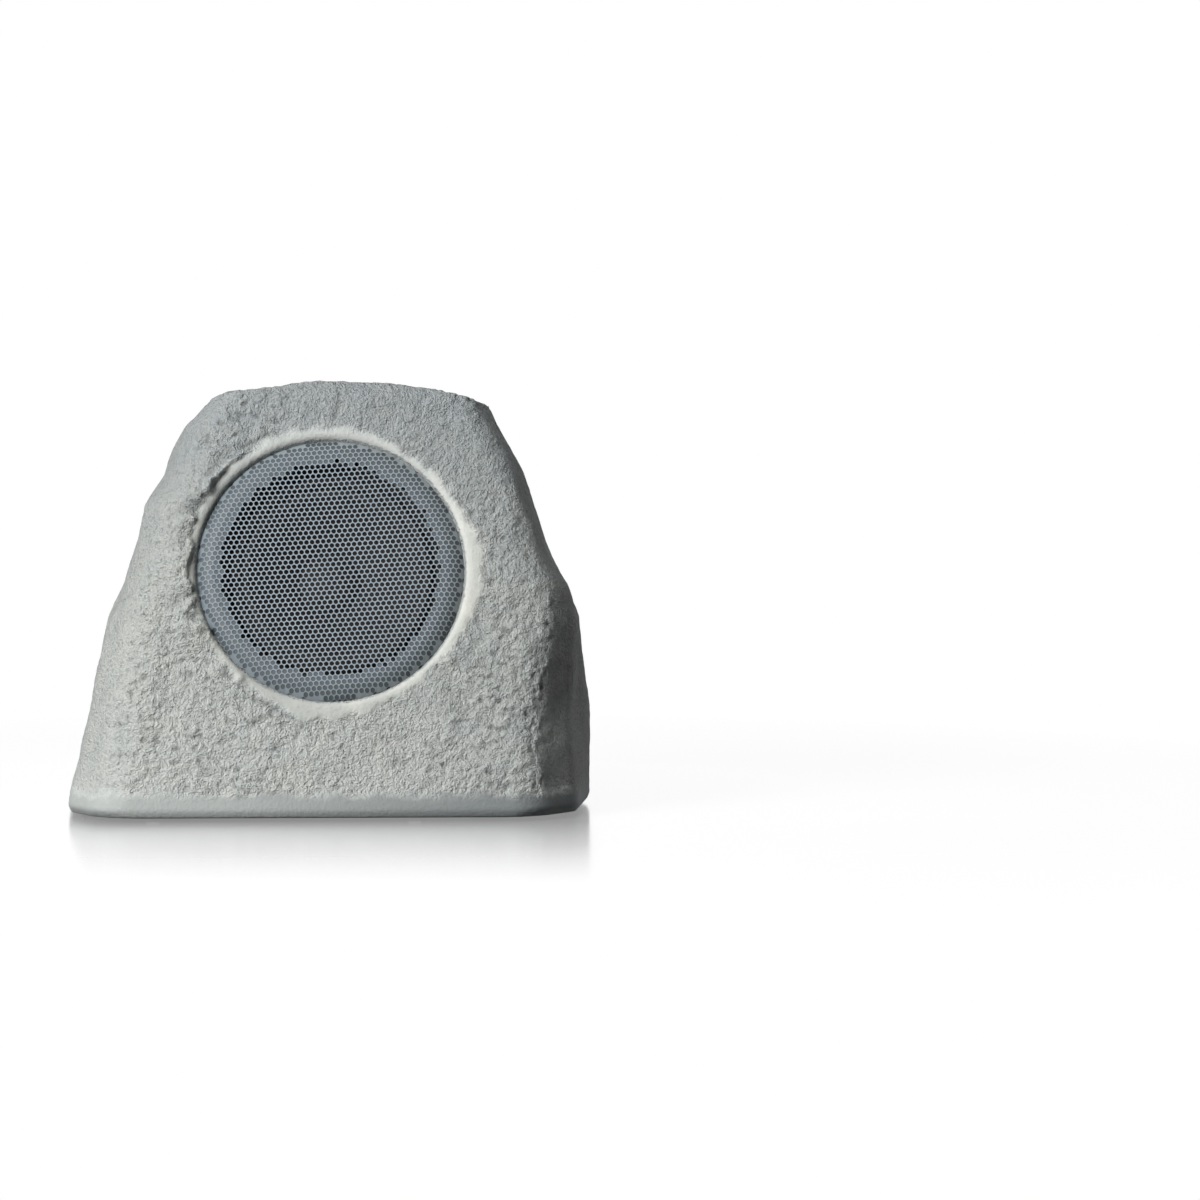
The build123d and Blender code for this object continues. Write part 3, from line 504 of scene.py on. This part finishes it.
# The drive unit hangs on four screws behind the baffle: a pressed basket, a paper cone on its roll of rubber,
# the cloth spider, the coil on its foil former, and the ferrite motor at the back.
def finish(name, nodes, dark, pale, size, roughness, metallic=0.0, bump=0.2):
    """Gives CAD nodes one material, a mottle of two colours with lumps of the given size in mm."""
    made = material(name)
    where = add(made, "TexCoord", {})["Object"]
    mottle = speckle(made, where, size, detail=4)
    colour = mix(made, mottle, dark, pale)
    rise = add(made, "Bump", {"Strength": bump, "Distance": 0.1 * size * MM, "Height": mottle})[0]
    coat(made, Base_Color=colour, Roughness=roughness, Metallic=metallic, Normal=rise)
    for node in nodes:
        frame["nodes"][node].data.materials.clear()
        frame["nodes"][node].data.materials.append(made)


RUBBERS = ["surround", "gland_seal", "rubber_feet"]
PLATED = ["driver_screws", "top_plate", "pole_yoke", "base_screws", "block_screw"]
FOAMS = ["driver_gasket", "base_gasket"]
finish("black_paint_on_pressed_steel", ["driver_basket"], "#0d0d0e", "#18181a", size=2.0, roughness=0.45)
finish(
    "pressed_paper_pulp_coated_black", ["cone", "dust_cap"], "#0b0b0c", "#161617", size=1.5, roughness=0.75
)
finish("moulded_black_rubber", RUBBERS, "#0e0e0e", "#191919", size=3.0, roughness=0.7)
finish(
    "cotton_cloth_stiffened_with_resin", ["spider"], "#8f6a2f", "#b08c4c", size=0.8, roughness=0.85, bump=0.6
)
finish(
    "bare_aluminium_foil", ["voice_coil_former"], "#b4b6b8", "#cdced0", size=4.0, roughness=0.3, metallic=1.0
)
finish(
    "enamelled_copper_winding", ["voice_coil"], "#8a4522", "#b5683a",
    size=0.5, roughness=0.35, metallic=1.0, bump=0.6,
)
finish("sintered_ferrite", ["magnet"], "#1a1a1c", "#2a2a2c", size=1.0, roughness=0.8)
finish("zinc_plated_steel", PLATED, "#9a9b98", "#bdbdb8", size=6.0, roughness=0.35, metallic=1.0)
finish("cut_black_foam", FOAMS, "#111111", "#222222", size=0.8, roughness=0.95, bump=0.8)
finish("punched_phenolic_sheet", ["terminal_strip"], "#4a2a14", "#6a4020", size=1.2, roughness=0.6)
finish(
    "tinned_brass", ["terminal_tags", "clamp_screws"], "#b3a884", "#cfc6a6",
    size=3.0, roughness=0.35, metallic=1.0,
)


# The rubber surround and the cloth spider are fixed to the basket outside and glued to the moving parts
# Both give way in between; here each is only copied from its CAD ring.
def flex(node):
    """Copy of a CAD ring, shown in place of the hidden CAD part."""
    piece = put(node + "_flexible", frame["nodes"][node].data.copy())
    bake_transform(piece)
    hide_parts(node)


flex("surround")
flex("spider")

# Two insulated leads run from the drive unit's tags to the screw terminals, soldered at one end and clamped at
# the other. The terminals sit in a nylon block that is screwed to the base plate.
finish("red_pvc_insulation", ["lead_positive"], "#8e120e", "#a8201a", size=2.0, roughness=0.35, bump=0.05)
finish("black_pvc_insulation", ["lead_negative"], "#0c0c0c", "#171717", size=2.0, roughness=0.35, bump=0.05)
finish(
    "natural_nylon_moulding", ["terminal_block"], "#cdc9bb", "#dedbd0", size=2.5, roughness=0.5, bump=0.05
)

# The moulded base plate closes the rock from below, held by six screws on a gasket.
# The nylon gland, clamped in the wall by its locknut, lets the cable in at the back.
GLAND = ["gland_body", "gland_nut", "gland_locknut"]
finish(
    "spark_textured_black_plastic", ["base_plate"], "#131414", "#202121", size=0.6, roughness=0.65, bump=0.5
)
finish("black_nylon_moulding", GLAND, "#101011", "#1c1c1d", size=1.0, roughness=0.5)


# The stand is a wide white table with a soft polish in front of the rock.
# It keeps the rock's shadow and a reflection that fades out, and it is dark to all but the lens.
# Its sizes are in metres.
def seen_by_lens(made):
    """1 on rays from the lens, also by way of a mirror or a clear piece, and 0 on all other light."""
    ray = add(made, "LightPath", {})
    looks = reckon(made, "MAXIMUM", ray["Is Camera Ray"], ray["Is Glossy Ray"])
    return reckon(made, "MAXIMUM", looks, ray["Is Transmission Ray"])


STAND_SIZE = 30.0
POLISH, POLISH_REACH, POLISH_SPAN, POLISH_ROUGHNESS = 0.7, 0.47, (0.3, 0.7), 0.16
GLOW_SPAN, GLOW_NEAR, GLOW_FAR = (0.2, 0.7), 0.82, 1.0
half = STAND_SIZE / 2
mesh = bpy.data.meshes.new("stand")
mesh.from_pydata([(-half, -half, 0), (half, -half, 0), (half, half, 0), (-half, half, 0)], [], [[0, 1, 2, 3]])
stand = put("stand", mesh)
table = material("white_lacquered_table")
where = add(table, "TexCoord", {})["Object"]
forward = add(table, "SeparateXYZ", {0: where})["Y"]
away = add(table, "VectorMath", {0: where}, operation="LENGTH")["Value"]
ahead = ramp(table, forward, -POLISH_REACH, cad_low.y, 0, POLISH)
polish = reckon(table, "MULTIPLY", ahead, ramp(table, away, *POLISH_SPAN, 1, 0))
dull = add(table, "BsdfDiffuse", {"Color": srgb("#f4f4f4")})[0]
glow = add(table, "Emission", {"Color": srgb("#ffffff"), "Strength": 1.0})[0]
bright = ramp(table, away, *GLOW_SPAN, GLOW_NEAR, GLOW_FAR)
lit = add(table, "MixShader", {0: bright, 1: dull, 2: glow})[0]
mirror = add(table, "BsdfAnisotropic", {"Color": srgb("#ffffff"), "Roughness": POLISH_ROUGHNESS})[0]
seen = add(table, "MixShader", {0: polish, 1: lit, 2: mirror})[0]
unseen = add(table, "BsdfDiffuse", {"Color": srgb("#303030")})[0]
surface = add(table, "MixShader", {0: seen_by_lens(table), 1: unseen, 2: seen})[0]
add(table, "OutputMaterial", {"Surface": surface})
mesh.materials.append(table)

# The studio is white to the lens, and a dim grey room to the rock.
ROOM_LIGHT = 0.02
world = bpy.data.worlds.new("studio")
bpy.context.scene.world = world
world.use_nodes = True
world.node_tree.nodes.clear()
room = add(world, "Background", {"Color": srgb("#ffffff"), "Strength": ROOM_LIGHT})[0]
white = add(world, "Background", {"Color": srgb("#ffffff"), "Strength": 1.0})[0]
sky = add(world, "MixShader", {0: seen_by_lens(world), 1: room, 2: white})[0]
add(world, "OutputWorld", {"Surface": sky})


# A large soft box stands to the left and in front, a wider one hangs overhead, and a weak one fills in from
# behind on the right. Places and widths are in metres.
def softbox(name, place, aim, width, watts):
    """Square area light that faces a point."""
    lamp = bpy.data.lights.new(name, "AREA")
    lamp.size = width
    lamp.energy = watts
    light = bpy.data.objects.new(name, lamp)
    light.location = place
    light.rotation_euler = (Vector(aim) - Vector(place)).to_track_quat("-Z", "Y").to_euler()
    bpy.context.scene.collection.objects.link(light)


softbox("key", place=(-1.1, -1.3, 0.88), aim=(0, -0.05, 0.12), width=0.8, watts=60)
softbox("overhead", place=(-0.3, -0.4, 2.4), aim=(0, 0, 0.1), width=1.8, watts=14)
softbox("fill", place=(1.8, 1.7, 0.9), aim=(0, 0, 0.1), width=1.2, watts=9)

# The lens looks down by three degrees from straight in front of the rock, which stands left of the middle.
# Distances are in metres, the sensor in mm and the rise in degrees.
CAMERA_DISTANCE = 3.4
CAMERA_RISE = 3.0
FRAME_WIDTH = 0.666
SENSOR = 36
AIM = Vector((0.1494, 0, 0.1117))
camera = bpy.data.cameras.new("camera")
camera.sensor_width = SENSOR
camera.lens = SENSOR * CAMERA_DISTANCE / FRAME_WIDTH
camera.clip_end = 100
eye = bpy.data.objects.new("camera", camera)
rise = math.radians(CAMERA_RISE)
eye.location = (0, -CAMERA_DISTANCE * math.cos(rise), AIM.z + CAMERA_DISTANCE * math.sin(rise))
eye.rotation_euler = (AIM - eye.location).to_track_quat("-Z", "Y").to_euler()
bpy.context.scene.collection.objects.link(eye)
bpy.context.scene.camera = eye
bpy.context.scene.view_settings.view_transform = "Standard"
